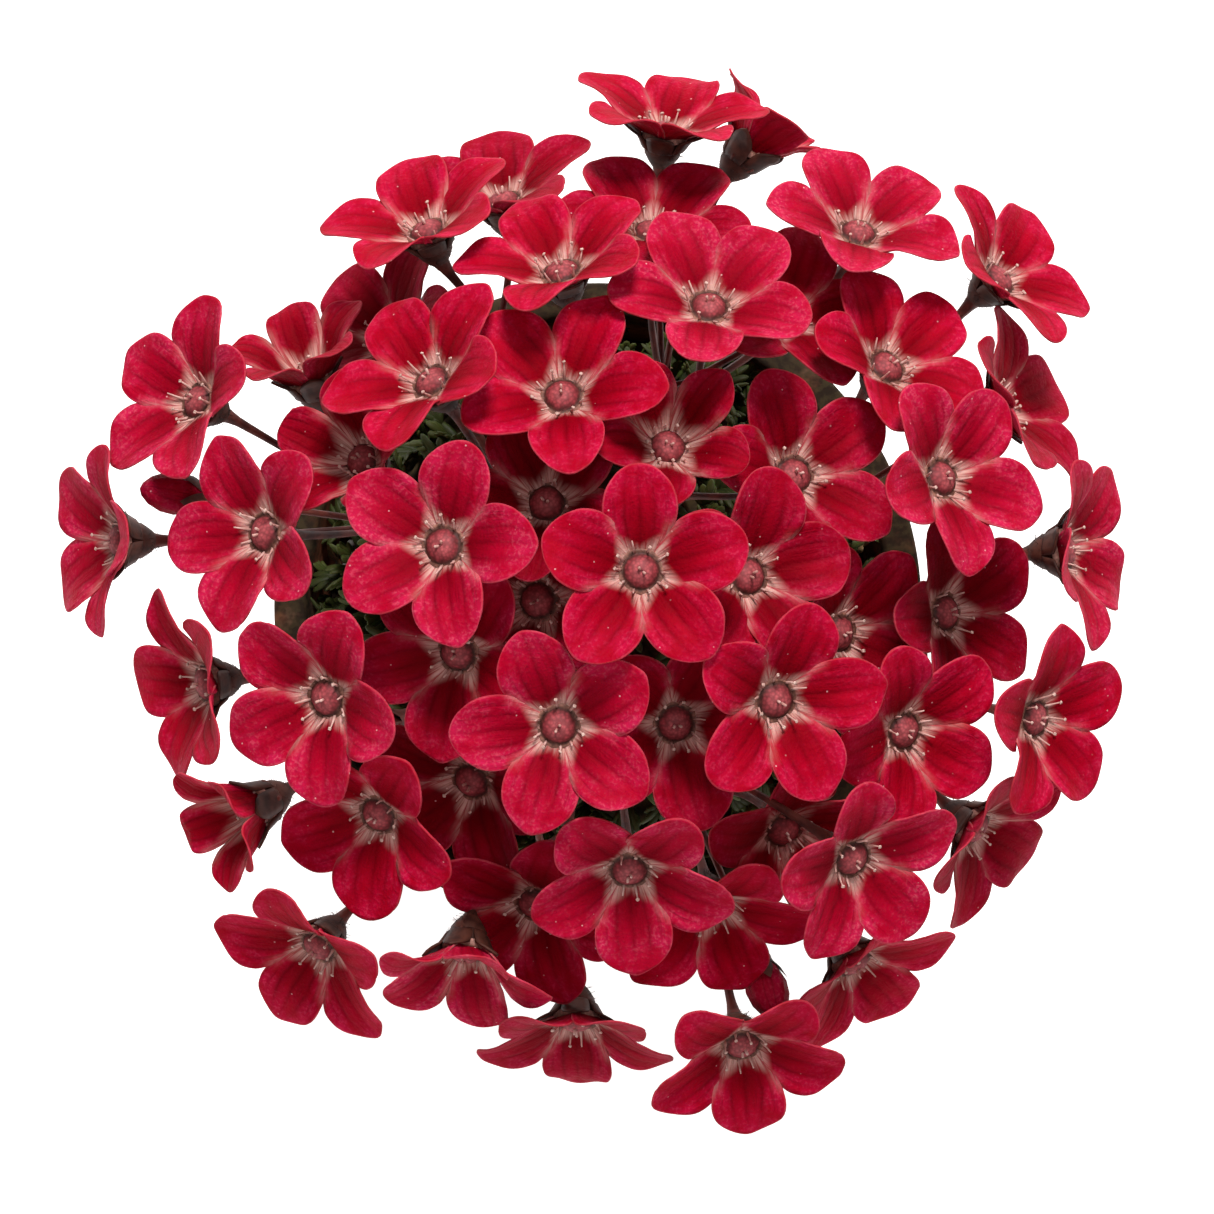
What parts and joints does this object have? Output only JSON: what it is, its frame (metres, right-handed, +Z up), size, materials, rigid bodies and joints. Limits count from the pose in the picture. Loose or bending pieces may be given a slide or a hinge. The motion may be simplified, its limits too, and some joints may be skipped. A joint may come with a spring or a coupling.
{
  "type": "potted mossy saxifrage",
  "caption": "Mossy saxifrage in a plain clay pot: a low cushion of cut leaves with branched stems under a dense dome of five-petalled crimson blooms.",
  "frame": {"origin": "middle of the pot's foot, on the surface that it stands on", "axes": "+Z up along the pot's axis; the picture looks down on the dome with +Y towards its top edge"},
  "size_m": [0.1229, 0.1226, 0.1678],
  "materials": {
    "petals": "soft matt with a faint sheen, crimson with darker veins",
    "stems": "matt, dark reddish brown, finely haired",
    "leaves": "matt green",
    "terracotta": "unglazed, matt",
    "compost": "crumbly, matt"
  },
  "bodies": {
    "root": {"bloom_01": "petals", "bloom_02": "petals", "bloom_03": "petals", "bloom_04": "petals", "bloom_05": "petals", "bloom_06": "petals", "bloom_07": "petals", "bloom_08": "petals", "bloom_09": "petals", "bloom_10": "petals", "bloom_11": "petals", "bloom_12": "petals", "bloom_13": "petals", "bloom_14": "petals", "bloom_15": "petals", "bloom_16": "petals", "bloom_17": "petals", "bloom_18": "petals", "bloom_19": "petals", "bloom_20": "petals", "bloom_21": "petals", "bloom_22": "petals", "bloom_23": "petals", "bloom_24": "petals", "bloom_25": "petals", "bloom_26": "petals", "bloom_27": "petals", "bloom_28": "petals", "bloom_29": "petals", "bloom_30": "petals", "bloom_31": "petals", "bloom_32": "petals", "bloom_33": "petals", "bloom_34": "petals", "bloom_35": "petals", "bloom_36": "petals", "bloom_37": "petals", "bloom_38": "petals", "bloom_39": "petals", "bloom_40": "petals", "bloom_41": "petals", "bloom_42": "petals", "bloom_43": "petals", "bloom_44": "petals", "bloom_45": "petals", "bloom_46": "petals", "bloom_47": "petals", "bloom_48": "petals", "bloom_49": "petals", "bloom_50": "petals", "bloom_51": "petals", "bloom_52": "petals", "bloom_53": "petals", "flower_stems": "stems", "leaf_cushion": "leaves", "pot": "terracotta", "soil": "compost"}
  },
  "joints": []
}
